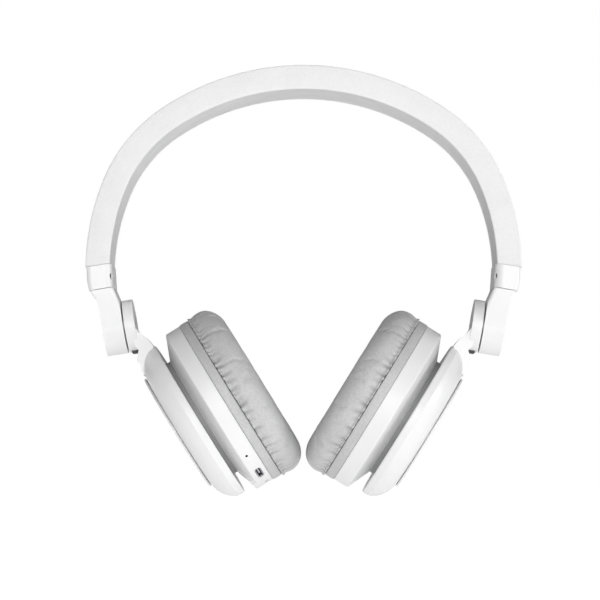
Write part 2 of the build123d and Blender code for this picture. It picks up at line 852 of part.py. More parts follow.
with BuildPart() as cushion:
    turn_ring(cushion_inner_radius, cushion_radius, flange_depth, cushion_depth)
    crown = cushion.edges().group_by(Axis(cup_origin, cup_inward))[-1]
    fillet(crown, radius=cushion_crown)
    seam = cushion.edges().group_by(Axis(cup_origin, cup_inward))[0].sort_by(SortBy.LENGTH)[-1:]
    fillet(seam, radius=cushion_seam_round)
write_pair(cushion, "cushion")

# ---------------------------------------------------------------- left cup's openings and controls

usb_mouth = rim_plane(usb_angle, usb_depth, rim_cut_radius)
microphone_mouth = rim_plane(microphone_angle, microphone_depth, rim_cut_radius)
jack_mouth = rim_plane(jack_angle, jack_depth, rim_cut_radius)
button_mouth = rim_plane(button_angle, button_depth, rim_cut_radius)
rocker_mouth = rim_plane(rocker_angle, button_depth, rim_cut_radius)
led_mouth = rim_plane(led_angle, led_depth, rim_cut_radius)
pod_rim = rim_plane(pod_start, 0, 0)
pod_section = Plane(origin=cup_origin, x_dir=pod_rim.z_dir, z_dir=-pod_rim.x_dir)

with BuildPart() as left_cup_housing:
    add(cup_housing.part)
    with BuildSketch(pod_section) as profile:
        with BuildLine():
            Polyline(*pod_corners, close=True)
        make_face()
    revolve(profile.sketch, axis=cup_axis, revolution_arc=pod_end - pod_start)
    with BuildSketch(usb_mouth) as profile:
        RectangleRounded(*usb_opening, usb_opening_round)
    extrude(profile.sketch, amount=-rim_cut_depth, mode=Mode.SUBTRACT)
    with BuildSketch(microphone_mouth) as profile:
        SlotOverall(*microphone_slot)
    extrude(profile.sketch, amount=-rim_cut_depth, mode=Mode.SUBTRACT)
    round_bar(jack_mouth, jack_nose_radius + layer_gap, -rim_cut_depth, mode=Mode.SUBTRACT)
    round_bar(button_mouth, button_radius + button_gap, -rim_cut_depth, mode=Mode.SUBTRACT)
    box_bar(rocker_mouth, rocker_length + 2 * rocker_gap, rocker_height + 2 * button_gap,
            -rocker_cut_depth, mode=Mode.SUBTRACT)
    round_bar(led_mouth, led_radius, -rim_cut_depth, mode=Mode.SUBTRACT)
write(left_cup_housing, "left_cup_housing")

with BuildPart() as usb_socket:
    usb_face = rim_plane(usb_angle, usb_depth, usb_shell_radius)
    with BuildSketch(usb_face) as profile:
        RectangleRounded(*usb_shell, usb_shell_round)
    extrude(profile.sketch, amount=-usb_length)
    inside = (usb_shell[0] - 2 * usb_shell_wall, usb_shell[1] - 2 * usb_shell_wall)
    with BuildSketch(usb_face) as profile:
        RectangleRounded(*inside, usb_shell_round - usb_shell_wall)
    extrude(profile.sketch, amount=2 * usb_shell_wall - usb_length, mode=Mode.SUBTRACT)
    box_bar(usb_face.offset(-usb_tongue_recess), *usb_tongue, usb_tongue_recess - usb_length)
    for side in (-1, 1):
        leg_origin = usb_face.origin + usb_face.x_dir * side * usb_leg_spacing / 2
        leg_origin += cup_inward * (board_high - usb_depth) - usb_face.z_dir * usb_leg_inset
        leg_height = usb_depth - usb_shell[1] / 2 - board_high + usb_shell_wall
        round_bar(Plane(origin=leg_origin, z_dir=cup_inward), usb_leg_radius, leg_height)
write(usb_socket, "usb_socket")

with BuildPart() as jack_socket:
    jack_body = rim_plane(jack_angle, jack_depth, jack_body_top)
    box_bar(jack_body, jack_width, jack_height, jack_body_foot - jack_body_top)
    round_bar(jack_body, jack_nose_radius, jack_nose_top - jack_body_top)
    jack_tip = rim_plane(jack_angle, jack_depth, jack_nose_top)
    round_bar(jack_tip, jack_bore_radius, jack_bore_foot - jack_nose_top, mode=Mode.SUBTRACT)
write(jack_socket, "jack_socket")

with BuildPart() as led_lens:
    led_end = rim_plane(led_angle, led_depth, rim_radius - layer_gap)
    round_bar(led_end, led_radius, -led_length)
write(led_lens, "led_lens")

with BuildPart() as power_button:
    button_face = rim_plane(button_angle, button_depth, button_top)
    flange_face = rim_plane(button_angle, button_depth, rim_radius - rim_wall - control_back_gap)
    round_bar(button_face, button_radius, rim_radius - rim_wall - control_back_gap - button_top)
    round_bar(flange_face, button_flange_radius, -button_flange_thickness)
    crown = power_button.edges().group_by(Axis(button_face.origin, button_face.z_dir))[-1]
    fillet(crown, radius=button_round)
write(power_button, "power_button")

with BuildPart() as volume_rocker:
    rocker_face = rim_plane(rocker_angle, button_depth, rocker_top)
    box_bar(rocker_face, rocker_length, rocker_height, rocker_foot - rocker_top)
    turn_ring(rocker_foot, rocker_top, -rim_radius, rim_radius, mode=Mode.INTERSECT)
    rocker_base = rim_plane(rocker_angle, button_depth, rocker_foot + layer_gap)
    box_bar(rocker_base, *rocker_lip, -rocker_lip_thickness)
write(volume_rocker, "volume_rocker")

with BuildPart() as circuit_board:
    with BuildSketch(cup_plane(board_low)) as profile:
        with BuildLine():
            outer = CenterArc((0, 0), board_outer_radius, board_start, board_end - board_start)
            inner = CenterArc((0, 0), board_inner_radius, board_start, board_end - board_start)
            Line(outer @ 0, inner @ 0)
            Line(outer @ 1, inner @ 1)
        make_face()
    extrude(profile.sketch, amount=board_high - board_low)
    for angle in chip_angles:
        chip = rim_plane(angle, board_high, chip_ring_radius).origin
        box_bar(Plane(origin=chip, x_dir=cup_front, z_dir=cup_inward), chip_size, chip_size, chip_height)
write(circuit_board, "circuit_board")

with BuildPart() as battery:
    bay = rim_plane(90, battery_low, battery_radius).origin
    box_bar(Plane(origin=bay, x_dir=cup_front, z_dir=cup_inward), *battery_size)
    fillet(battery.edges().filter_by(Axis(cup_origin, cup_inward)), radius=battery_round)
write_right(battery, "battery")
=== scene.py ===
import json
import math

import bpy
import numpy as np
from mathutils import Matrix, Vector


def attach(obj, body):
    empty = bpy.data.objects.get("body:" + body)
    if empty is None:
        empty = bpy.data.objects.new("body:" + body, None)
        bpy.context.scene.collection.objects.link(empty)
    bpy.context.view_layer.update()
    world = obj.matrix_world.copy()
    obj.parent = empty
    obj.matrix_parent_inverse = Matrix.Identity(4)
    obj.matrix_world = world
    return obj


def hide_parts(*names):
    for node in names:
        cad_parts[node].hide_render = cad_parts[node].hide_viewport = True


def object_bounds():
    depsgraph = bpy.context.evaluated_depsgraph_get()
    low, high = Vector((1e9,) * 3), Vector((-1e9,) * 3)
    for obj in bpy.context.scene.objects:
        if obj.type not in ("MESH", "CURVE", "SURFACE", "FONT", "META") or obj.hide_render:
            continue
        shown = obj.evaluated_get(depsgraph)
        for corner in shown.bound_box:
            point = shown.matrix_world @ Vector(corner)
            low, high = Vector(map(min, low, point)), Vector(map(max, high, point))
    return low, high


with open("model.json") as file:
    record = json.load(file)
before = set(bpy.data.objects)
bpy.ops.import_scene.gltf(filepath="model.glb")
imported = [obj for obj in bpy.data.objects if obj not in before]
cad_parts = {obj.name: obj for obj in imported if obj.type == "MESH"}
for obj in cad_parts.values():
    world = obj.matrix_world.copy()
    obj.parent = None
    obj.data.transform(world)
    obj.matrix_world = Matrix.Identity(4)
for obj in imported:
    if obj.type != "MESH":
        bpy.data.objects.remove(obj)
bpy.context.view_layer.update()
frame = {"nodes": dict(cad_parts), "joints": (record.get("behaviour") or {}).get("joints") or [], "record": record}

# White foldable headphones, in metres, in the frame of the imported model: the origin is the middle of
# the headband pad's underside, the front faces -Y and +Z is up.

MM = 0.001
SIDES = (("left", -1), ("right", 1))
joints = {j["name"]: j for j in frame["joints"]}
mounts = {m["name"]: m for m in frame["record"]["mounts"]}

# ---------------------------------------------------------------- camera, light and floor

CAMERA_DISTANCE = 1.06
CAMERA_DROP = 0.16285
CAMERA_PITCH = math.radians(4.017)
CAMERA_YAW = math.radians(0.08)
SENSOR = 36.0
LENS = 149.5
FAR_CLIP = 50

FLOOR_GAP = 0.03
FLOOR_HALF = 6.0
FLOOR_SHADE = 0.45
FLOOR_GLOW = 0.72
SKY_BELOW = 0.10
SKY_ABOVE = 0.20

LIGHT_SIZE = 0.8
LIGHT_AIM = (0, 0, -0.09)
LIGHTS = {
    "low_front": ((0, -1.1, -0.175), 7.6),
    "front": ((0.42, -1.5, -0.15), 1.5),
    "high_front": ((0, -1.2, 0.7), 3.2),
    "side": ((1.4, -0.5, -0.05), 8.6),
    "back": ((0, 1.5, -0.05), 6.0),
}
MATT_LIGHTS = ("back",)


def make_camera():
    """The only camera, in front of the headphones and looking slightly up."""
    data = bpy.data.cameras.new("camera")
    data.sensor_width = SENSOR
    data.lens = LENS
    data.clip_end = FAR_CLIP
    camera = bpy.data.objects.new("camera", data)
    bpy.context.scene.collection.objects.link(camera)
    camera.location = (0, -CAMERA_DISTANCE, -CAMERA_DROP)
    aim = Vector((-math.tan(CAMERA_YAW), 1, math.tan(CAMERA_PITCH)))
    camera.rotation_mode = "QUATERNION"
    camera.rotation_quaternion = aim.to_track_quat("-Z", "Y")
    bpy.context.scene.camera = camera


def area_light(name, place, power):
    """A round white light that points at the middle of the headphones."""
    data = bpy.data.lights.new(name, "AREA")
    data.shape = "DISK"
    data.size = LIGHT_SIZE
    data.energy = power
    light = bpy.data.objects.new(name, data)
    bpy.context.scene.collection.objects.link(light)
    light.location = place
    light.rotation_mode = "QUATERNION"
    light.rotation_quaternion = (Vector(LIGHT_AIM) - Vector(place)).to_track_quat("-Z", "Y")
    light.visible_glossy = name not in MATT_LIGHTS


def make_world():
    """Soft studio surroundings: brighter overhead than below, and plain white behind the object."""
    world = bpy.data.worlds.new("studio")
    bpy.context.scene.world = world
    world.use_nodes = True
    nodes, links = world.node_tree.nodes, world.node_tree.links
    nodes.clear()
    out = nodes.new("ShaderNodeOutputWorld")
    mix = nodes.new("ShaderNodeMixShader")
    rays = nodes.new("ShaderNodeLightPath")
    lit = nodes.new("ShaderNodeBackground")
    seen = nodes.new("ShaderNodeBackground")
    seen.inputs["Strength"].default_value = 1.0
    seen.inputs["Color"].default_value = (1, 1, 1, 1)
    place = nodes.new("ShaderNodeTexCoord")
    split = nodes.new("ShaderNodeSeparateXYZ")
    ramp = nodes.new("ShaderNodeMapRange")
    ramp.inputs["From Min"].default_value = -1.0
    ramp.inputs["From Max"].default_value = 1.0
    ramp.inputs["To Min"].default_value = SKY_BELOW
    ramp.inputs["To Max"].default_value = SKY_ABOVE
    links.new(place.outputs["Generated"], split.inputs[0])
    links.new(split.outputs["Z"], ramp.inputs["Value"])
    links.new(ramp.outputs[0], lit.inputs["Strength"])
    links.new(rays.outputs["Is Camera Ray"], mix.inputs[0])
    links.new(lit.outputs[0], mix.inputs[1])
    links.new(seen.outputs[0], mix.inputs[2])
    links.new(mix.outputs[0], out.inputs[0])


def make_floor():
    """A plain white floor, seen from above only, that sends back a soft light."""
    low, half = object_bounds()[0].z - FLOOR_GAP, FLOOR_HALF
    corners = [(-half, -half, low), (half, -half, low), (half, half, low), (-half, half, low)]
    mesh = bpy.data.meshes.new("floor")
    mesh.from_pydata(corners, [], [(0, 1, 2, 3)])
    floor = bpy.data.objects.new("floor", mesh)
    bpy.context.scene.collection.objects.link(floor)
    paint = bpy.data.materials.new("floor_paint")
    paint.use_nodes = True
    nodes, links = paint.node_tree.nodes, paint.node_tree.links
    shader = nodes["Principled BSDF"]
    shader.inputs["Base Color"].default_value = (FLOOR_SHADE, FLOOR_SHADE, FLOOR_SHADE, 1)
    shader.inputs["Roughness"].default_value = 0.9
    shader.inputs["Emission Color"].default_value = (1, 1, 1, 1)
    rays = nodes.new("ShaderNodeLightPath")
    glow = nodes.new("ShaderNodeMapRange")
    glow.inputs["To Min"].default_value = FLOOR_GLOW
    glow.inputs["To Max"].default_value = 1.0
    links.new(rays.outputs["Is Camera Ray"], glow.inputs["Value"])
    links.new(glow.outputs[0], shader.inputs["Emission Strength"])
    below = nodes.new("ShaderNodeNewGeometry")
    clear = nodes.new("ShaderNodeBsdfTransparent")
    mix = nodes.new("ShaderNodeMixShader")
    links.new(below.outputs["Backfacing"], mix.inputs[0])
    links.new(shader.outputs[0], mix.inputs[1])
    links.new(clear.outputs[0], mix.inputs[2])
    links.new(mix.outputs[0], nodes["Material Output"].inputs["Surface"])
    mesh.materials.append(paint)


def make_studio():
    """Camera, surroundings, floor and lights."""
    bpy.context.scene.view_settings.view_transform = "Standard"
    make_camera()
    make_world()
    make_floor()
    for name, (place, power) in LIGHTS.items():
        area_light(name, place, power)


# ---------------------------------------------------------------- materials

SCUFF_STRETCH = (1, 1, 6)
ORANGE_PEEL = 0.006 * MM
STREAK_DEPTH = 0.004 * MM
KNIT_DEPTH = 0.08 * MM
WAVE_TURN = 0.314


class Paint:
    """A node material that is being put together."""

    def __init__(self, name, colour, roughness, **shader_values):
        self.material = bpy.data.materials.new(name)
        self.material.use_nodes = True
        self.nodes = self.material.node_tree.nodes
        self.links = self.material.node_tree.links
        self.shader = self.nodes["Principled BSDF"]
        self.shader.inputs["Base Color"].default_value = (*colour, 1)
        self.shader.inputs["Roughness"].default_value = roughness
        for key, value in shader_values.items():
            self.shader.inputs[key.replace("_", " ")].default_value = value
        self.colour = colour
        self.place = self.nodes.new("ShaderNodeTexCoord").outputs["Object"]

    def noise(self, size, detail=3.0, stretch=None):
        """Noise whose features are about size metres across."""
        node = self.nodes.new("ShaderNodeTexNoise")
        node.inputs["Scale"].default_value = 1 / size
        node.inputs["Detail"].default_value = detail
        self.links.new(self.stretched(stretch), node.inputs["Vector"])
        return node.outputs["Fac"]

    def cells(self, size):
        """Distance to the middle of rounded cells about size metres across."""
        node = self.nodes.new("ShaderNodeTexVoronoi")
        node.feature = "SMOOTH_F1"
        node.inputs["Scale"].default_value = 1 / size
        node.inputs["Smoothness"].default_value = 0.35
        self.links.new(self.place, node.inputs["Vector"])
        return node.outputs["Distance"]

    def stretched(self, stretch):
        """Object coordinates, scaled by (x, y, z) where that is given."""
        if stretch is None:
            return self.place
        node = self.nodes.new("ShaderNodeMapping")
        node.inputs["Scale"].default_value = stretch
        self.links.new(self.place, node.inputs["Vector"])
        return node.outputs["Vector"]

    def scaled(self, value, low, high, start=0.0, end=1.0):
        """A value between start and end brought to between low and high."""
        node = self.nodes.new("ShaderNodeMapRange")
        for key, number in (("From Min", start), ("From Max", end), ("To Min", low), ("To Max", high)):
            node.inputs[key].default_value = number
        self.links.new(value, node.inputs["Value"])
        return node.outputs[0]

    def math(self, kind, a, b):
        """Two values or numbers put together by a Math node."""
        node = self.nodes.new("ShaderNodeMath")
        node.operation = kind
        for socket, value in zip(node.inputs, (a, b)):
            if isinstance(value, (int, float)):
                socket.default_value = value
            else:
                self.links.new(value, socket)
        return node.outputs[0]

    def attribute(self, name):
        """A number stored on the mesh."""
        node = self.nodes.new("ShaderNodeAttribute")
        node.attribute_name = name
        return node.outputs["Fac"]

    def tint(self, factor):
        """Base colour times a factor."""
        node = self.nodes.new("ShaderNodeVectorMath")
        node.operation = "SCALE"
        node.inputs[0].default_value = self.colour
        self.links.new(factor, node.inputs["Scale"])
        self.links.new(node.outputs[0], self.shader.inputs["Base Color"])

    def rough(self, factor):
        """Roughness that varies over the surface."""
        self.links.new(factor, self.shader.inputs["Roughness"])

    def bump(self, height, depth):
        """Bumps of the given depth in metres, from a height between 0 and 1."""
        node = self.nodes.new("ShaderNodeBump")
        node.inputs["Strength"].default_value = 1.0
        node.inputs["Distance"].default_value = depth
        self.links.new(height, node.inputs["Height"])
        self.links.new(node.outputs[0], self.shader.inputs["Normal"])


def moulded(name, colour, roughness, speckle=0.0, **shader_values):
    """Moulded plastic: faint flow marks in colour, orange peel and fine scuffs in the gloss."""
    paint = Paint(name, colour, roughness, **shader_values)
    flow = paint.scaled(paint.noise(18 * MM, 4), 0.985, 1.015)
    fine = paint.scaled(paint.noise(0.5 * MM, 2), 1 - speckle, 1 + speckle)
    paint.tint(paint.math("MULTIPLY", flow, fine))
    scuffs = paint.scaled(paint.noise(6 * MM, 8, SCUFF_STRETCH), roughness - 0.05, roughness + 0.07)
    paint.rough(scuffs)
    paint.bump(paint.math("ADD", paint.noise(1.6 * MM, 2), paint.noise(0.25 * MM, 2)), ORANGE_PEEL)
    return paint.material


def leatherette(name, colour, roughness, grain, depth, mottle, painted_shade=0.0, **shader_values):
    """Coated fabric: pebbled grain, mottled colour, and painted shade where the mesh's stored shade says so (in
    creases and along rolled edges).
    """
    paint = Paint(name, colour, roughness, **shader_values)
    pebbles = paint.cells(grain)
    fine = paint.noise(grain * 0.55, 3)
    height = paint.math("ADD", paint.math("MULTIPLY", pebbles, 0.8), paint.math("MULTIPLY", fine, 0.5))
    broad = paint.scaled(paint.noise(9 * MM, 4), 1 - mottle, 1 + mottle, 0.3, 0.7)
    speckle = paint.scaled(height, 1 + mottle * 1.6, 1 - mottle * 1.6, 0.2, 0.8)
    factor = paint.math("MULTIPLY", broad, speckle)
    # Painted shade: the colour is darkened by the mesh's stored shade value, by up to this share at the darkest.
    if painted_shade:
        factor = paint.math("MULTIPLY", factor, paint.scaled(paint.attribute("painted_shade"), 1.0, 1 - painted_shade))
    paint.tint(factor)
    paint.rough(paint.scaled(height, roughness + 0.08, roughness - 0.08, 0.2, 0.8))
    paint.bump(height, depth)
    return paint.material


def brushed(name, colour, roughness, stretch):
    """Brushed steel with fine streaks."""
    paint = Paint(name, colour, roughness, Metallic=1.0)
    streaks = paint.noise(0.4 * MM, 6, stretch)
    paint.tint(paint.scaled(streaks, 0.88, 1.08))
    paint.rough(paint.scaled(streaks, roughness - 0.08, roughness + 0.12))
    paint.bump(streaks, STREAK_DEPTH)
    return paint.material


def knitted(name, colour, pitch):
    """Knitted acoustic cloth: crossing ribs with open holes between them."""
    paint = Paint(name, colour, 0.9, Sheen_Weight=0.3, Sheen_Roughness=0.5)
    waves = []
    for direction in ("X", "Y"):
        wave = paint.nodes.new("ShaderNodeTexWave")
        wave.wave_type = "BANDS"
        wave.bands_direction = direction
        wave.inputs["Scale"].default_value = WAVE_TURN / pitch
        wave.inputs["Distortion"].default_value = 0.6
        paint.links.new(paint.place, wave.inputs["Vector"])
        waves.append(wave.outputs["Fac"])
    height = paint.math("MULTIPLY", waves[0], waves[1])
    paint.tint(paint.scaled(height, 0.35, 1.4))
    paint.bump(height, KNIT_DEPTH)
    return paint.material


def make_materials():
    """The material of each of the record's material slots."""
    return {
        "band_leatherette": leatherette(
            "band_leatherette", (0.76, 0.76, 0.76), 0.50, 0.75 * MM, 0.04 * MM, 0.018, Sheen_Weight=0.06),
        "pad_leatherette": leatherette(
            "pad_leatherette", (0.70, 0.70, 0.70), 0.60, 0.8 * MM, 0.06 * MM, 0.045),
        # The cushion's and the flange's leatherette are darkened by painted shade stored on their meshes, by up to
        # 0.38 and 0.3.
        "cushion_leatherette": leatherette(
            "cushion_leatherette", (0.56, 0.56, 0.56), 0.55, 0.85 * MM, 0.08 * MM, 0.05, painted_shade=0.38,
            Sheen_Weight=0.08),
        "flange_leatherette": leatherette(
            "flange_leatherette", (0.55, 0.55, 0.55), 0.58, 0.75 * MM, 0.07 * MM, 0.05, painted_shade=0.3),
        "white_plastic": moulded("white_plastic", (0.82, 0.82, 0.82), 0.34, 0.004),
        "cap_plastic": moulded("cap_plastic", (0.78, 0.78, 0.78), 0.30, 0.004),
        "grey_plastic": moulded("grey_plastic", (0.30, 0.30, 0.305), 0.5, 0.01),
        "black_plastic": moulded("black_plastic", (0.02, 0.02, 0.022), 0.45, 0.02),
        "clear_nylon": moulded("clear_nylon", (0.62, 0.62, 0.58), 0.4, 0.01),
        "nylon": moulded("nylon", (0.6, 0.6, 0.55), 0.35, 0.01),
        "spring_steel": brushed("spring_steel", (0.55, 0.55, 0.56), 0.28, (1, 1, 0.04)),
        # Painted shade: the collar screws are made near-black so that their recesses read as shaded.
        "black_steel": brushed("black_steel", (0.07, 0.07, 0.075), 0.35, (1, 1, 1)),
        "steel": brushed("steel", (0.5, 0.5, 0.52), 0.3, (1, 0.15, 1)),
        "cable": moulded("cable", (0.03, 0.03, 0.03), 0.6, 0.02),
        "diaphragm_film": moulded("diaphragm_film", (0.35, 0.31, 0.23), 0.25, 0.02),
        "grille_cloth": knitted("grille_cloth", (0.035, 0.035, 0.037), 0.5 * MM),
        "board_green": moulded("board_green", (0.01, 0.09, 0.03), 0.3, 0.05),
        "smoked_lens": moulded("smoked_lens", (0.01, 0.01, 0.01), 0.15, 0.0),
        "foil": brushed("foil", (0.6, 0.6, 0.62), 0.25, (1, 1, 1)),
    }


# ---------------------------------------------------------------- mesh helpers

CURVE_STEPS = 24
ARC_STEPS = 6
NEARLY_STRAIGHT = 1e-3


def add_mesh(name, points, faces):
    """A smooth-shaded mesh object."""
    mesh = bpy.data.meshes.new(name)
    mesh.from_pydata([tuple(p) for p in points], [], faces)
    mesh.update()
    mesh.validate()
    mesh.polygons.foreach_set("use_smooth", [True] * len(mesh.polygons))
    piece = bpy.data.objects.new(name, mesh)
    bpy.context.scene.collection.objects.link(piece)
    return piece


def grid_faces(rows, columns, wrap_rows=False):
    """Quads of a grid of points, row by row, wrapping round along each row and, where asked, across them."""
    faces = []
    for i in range(rows if wrap_rows else rows - 1):
        for j in range(columns):
            a = i * columns + j
            b = i * columns + (j + 1) % columns
            c = ((i + 1) % rows) * columns + (j + 1) % columns
            d = ((i + 1) % rows) * columns + j
            faces.append((a, b, c, d))
    return faces


def set_painted_shade(piece, values):
    """Store each point's painted shade, from 0 (none) to 1 (darkest), on the mesh."""
    attribute = piece.data.attributes.new("painted_shade", "FLOAT", "POINT")
    attribute.data.foreach_set("value", np.asarray(values, np.float32))


def smooth_curve(points, count):
    """A closed Catmull-Rom curve through points, resampled at equal steps."""
    points = np.asarray(points, float)
    total = len(points)
    dense = []
    for i in range(total):
        p0, p1, p2, p3 = (points[(i + k - 1) % total] for k in range(4))
        for t in np.linspace(0, 1, CURVE_STEPS, endpoint=False):
            dense.append(0.5 * (2 * p1 + (p2 - p0) * t + (2 * p0 - 5 * p1 + 4 * p2 - p3) * t ** 2
                                + (3 * p1 - p0 - 3 * p2 + p3) * t ** 3))
    return resample(np.array(dense), count)


def resample(points, count):
    """A closed outline at count equal steps."""
    loop = np.vstack([points, points[:1]])
    steps = np.r_[0, np.cumsum(np.linalg.norm(np.diff(loop, axis=0), axis=1))]
    wanted = np.linspace(0, steps[-1], count, endpoint=False)
    return np.column_stack([np.interp(wanted, steps, loop[:, k]) for k in range(loop.shape[1])])


def outline_normals(points):
    """Outward normals of a closed outline of (u, v) points."""
    ahead = np.roll(points, -1, 0) - np.roll(points, 1, 0)
    normals = np.column_stack([ahead[:, 1], -ahead[:, 0]])
    normals /= np.linalg.norm(normals, axis=1)[:, None]
    middle = points.mean(0)
    if ((points - middle) * normals).sum() < 0:
        normals = -normals
    return normals


def rounded_outline(corners, radii):
    """A polygon with each corner replaced by an arc of its own radius."""
    corners = [np.array(c, float) for c in corners]
    out = []
    for i, corner in enumerate(corners):
        before = corners[i - 1] - corner
        after = corners[(i + 1) % len(corners)] - corner
        before, after = before / np.linalg.norm(before), after / np.linalg.norm(after)
        radius = radii[i]
        half = math.acos(np.clip(before @ after, -1, 1)) / 2
        if radius <= 0 or half > math.pi / 2 - NEARLY_STRAIGHT:
            out.append(corner)
            continue
        reach = radius / math.tan(half)
        bisector = (before + after) / np.linalg.norm(before + after)
        centre = corner + bisector * radius / math.sin(half)
        start, end = corner + before * reach - centre, corner + after * reach - centre
        turn = math.acos(np.clip(start @ end / radius ** 2, -1, 1))
        for k in range(ARC_STEPS + 1):
            t = k / ARC_STEPS
            mix = (math.sin((1 - t) * turn) * start + math.sin(t * turn) * end) / math.sin(turn)
            out.append(centre + mix)
    return np.array(out)


def refine(outline, step):
    """Add points to a closed outline so that no span is longer than step."""
    out = []
    for i, start in enumerate(outline):
        end = outline[(i + 1) % len(outline)]
        count = max(1, int(math.ceil(np.linalg.norm(end - start) / step)))
        out += [start + (end - start) * k / count for k in range(count)]
    return np.array(out)


def signed_volume(piece):
    """Volume of a closed mesh, negative where its faces look inward."""
    mesh = piece.data
    mesh.calc_loop_triangles()
    points = np.array([v.co for v in mesh.vertices])
    corners = np.array([t.vertices for t in mesh.loop_triangles])
    a, b, c = (points[corners[:, k]] for k in range(3))
    return float(np.einsum("ij,ij->i", a, np.cross(b, c)).sum() / 6)


def turn_outward(piece):
    """Make a closed mesh's faces look outward."""
    if signed_volume(piece) < 0:
        piece.data.flip_normals()


# ---------------------------------------------------------------- headband

CROWN_RADIUS = 96.4 * MM
SHOULDER_RADIUS = 56.5 * MM
SIDE_RADIUS = 89.4 * MM
CROWN_HEADING = math.radians(34.3)
SHOULDER_HEADING = math.radians(67.5)
SEAM_X = 85.95 * MM
SEAM_Z = -74.8 * MM
SEAM_SLOPE = math.tan(math.radians(8.9))
BAND_HALF_WIDTH = 15.0 * MM
BAND_THICKNESS = 10.3 * MM
COVER_WALL = 1.4 * MM
PAD_HALF_WIDTH = 13.5 * MM
PAD_THICKNESS = 3.0 * MM
PAD_FLAT_HEADING = math.radians(32)
PAD_CROWN_FADE = math.radians(10)
END_HEADINGS = (math.radians(70), math.radians(110))
HALVINGS = 40
BAND_ROWS = 420
BAND_SWELL = 0.12 * MM
COVER_LIP = 0.1 * MM
COVER_STEP = 0.6 * MM
COVER_OUTER_ROUND = 0.35 * MM
COVER_LIP_ROUND = 0.4 * MM
PAD_FIT = 0.05 * MM
PAD_CROWN = 0.3 * MM
PAD_STEP = 0.5 * MM
PAD_UNDERSIDE = 0.25 * MM
PAD_UPPER_ROUND = 0.2 * MM
PAD_LOWER_ROUND = 0.7 * MM
TOLERANCE = 0.01 * MM


def towards(heading):
    """Unit (x, z) vector at a heading from straight up."""
    return np.array([math.sin(heading), math.cos(heading)])


def band_point(heading, distance):
    """The (x, z) at a heading along the band, a distance outward of the pad's underside."""
    h = np.abs(heading)
    crown = np.array([0, -CROWN_RADIUS])
    shoulder = crown + (CROWN_RADIUS - SHOULDER_RADIUS) * towards(CROWN_HEADING)
    side = shoulder + (SHOULDER_RADIUS - SIDE_RADIUS) * towards(SHOULDER_HEADING)
    pick = [h <= CROWN_HEADING, h <= SHOULDER_HEADING]
    cx = np.select(pick, [crown[0], shoulder[0]], side[0])
    cz = np.select(pick, [crown[1], shoulder[1]], side[1])
    radius = np.select(pick, [CROWN_RADIUS, SHOULDER_RADIUS], SIDE_RADIUS) + distance
    return np.sign(heading) * (cx + radius * np.sin(h)), cz + radius * np.cos(h)


def end_heading(distance):
    """Heading at which the band meets the collar's slanted seam."""
    low, high = END_HEADINGS
    for _ in range(HALVINGS):
        middle = (low + high) / 2
        x, z = band_point(np.array(middle), distance)
        if z > SEAM_Z - (x - SEAM_X) * SEAM_SLOPE:
            low = middle
        else:
            high = middle
    return low


def sweep_band(name, outline, relief):
    """A piece that follows the band, from a closed outline of (distance, y) points and a height over it."""
    share = np.linspace(-1, 1, BAND_ROWS)
    ends = np.array([end_heading(d) for d in outline[:, 0]])
    heading = share[:, None] * ends[None, :]
    distance = np.repeat(outline[None, :, 0], BAND_ROWS, 0)
    width = np.repeat(outline[None, :, 1], BAND_ROWS, 0)
    normals = outline_normals(outline)
    height = relief(heading, distance, width)
    distance = distance + normals[None, :, 0] * height
    width = width + normals[None, :, 1] * height
    x, z = band_point(heading, distance)
    points = np.column_stack([x.ravel(), width.ravel(), z.ravel()])
    columns = len(outline)
    faces = grid_faces(BAND_ROWS, columns)
    faces.append(tuple(range(columns)))
    faces.append(tuple((BAND_ROWS - 1) * columns + j for j in reversed(range(columns))))
    piece = add_mesh(name, points, faces)
    piece.data.polygons[-1].use_smooth = False
    piece.data.polygons[-2].use_smooth = False
    turn_outward(piece)
    return piece


def make_band_cover(paints):
    """The leatherette cover, a channel that opens towards the head."""
    top, wide, lip = BAND_THICKNESS, BAND_HALF_WIDTH, COVER_LIP
    channel, ceiling = PAD_HALF_WIDTH + PAD_FIT, BAND_THICKNESS - COVER_WALL
    corners = [(lip, -wide), (top, -wide), (top, wide), (lip, wide),
               (lip, channel), (ceiling, channel), (ceiling, -channel), (lip, -channel)]
    outer, inner = COVER_OUTER_ROUND, COVER_LIP_ROUND
    outline = refine(rounded_outline(corners, [inner, outer, outer, inner, inner, 0, 0, inner]), COVER_STEP)

    def relief(heading, distance, width):
        """The skin swells a little over the foam on the front, the rear and the top."""
        front = np.clip(1 - ((distance - top / 2) / (top / 2)) ** 2, 0, 1)
        front = front * (np.abs(width) > wide - TOLERANCE)
        upper = np.clip(1 - (width / (wide - outer)) ** 2, 0, 1) * (distance > top - TOLERANCE)
        return BAND_SWELL * front + BAND_SWELL * upper

    cover = sweep_band("headband_cover_skin", outline, relief)
    cover.data.materials.append(paints["band_leatherette"])
    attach(cover, "headband")
    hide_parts("headband_cover")


def make_band_pad(paints):
    """The padded strip that rests on the head."""
    wide, thick, low = PAD_HALF_WIDTH, PAD_THICKNESS, PAD_UNDERSIDE
    corners = [(thick, -wide), (thick, wide), (low, wide), (low, -wide)]
    radii = [PAD_UPPER_ROUND, PAD_UPPER_ROUND, PAD_LOWER_ROUND, PAD_LOWER_ROUND]
    outline = refine(rounded_outline(corners, radii), PAD_STEP)

    def relief(heading, distance, width):
        """Crowned towards the head, flat where it is glued to the core and where a folded shell rests."""
        under = distance < low + TOLERANCE
        crown = np.clip((PAD_FLAT_HEADING - np.abs(heading)) / PAD_CROWN_FADE, 0, 1)
        return PAD_CROWN * crown * np.clip(1 - (np.abs(width) / (wide - PAD_LOWER_ROUND)) ** 3, 0, 1) * under

    pad = sweep_band("headband_pad_skin", outline, relief)
    pad.data.materials.append(paints["pad_leatherette"])
    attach(pad, "headband")
    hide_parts("headband_pad")


# ---------------------------------------------------------------- ear cups


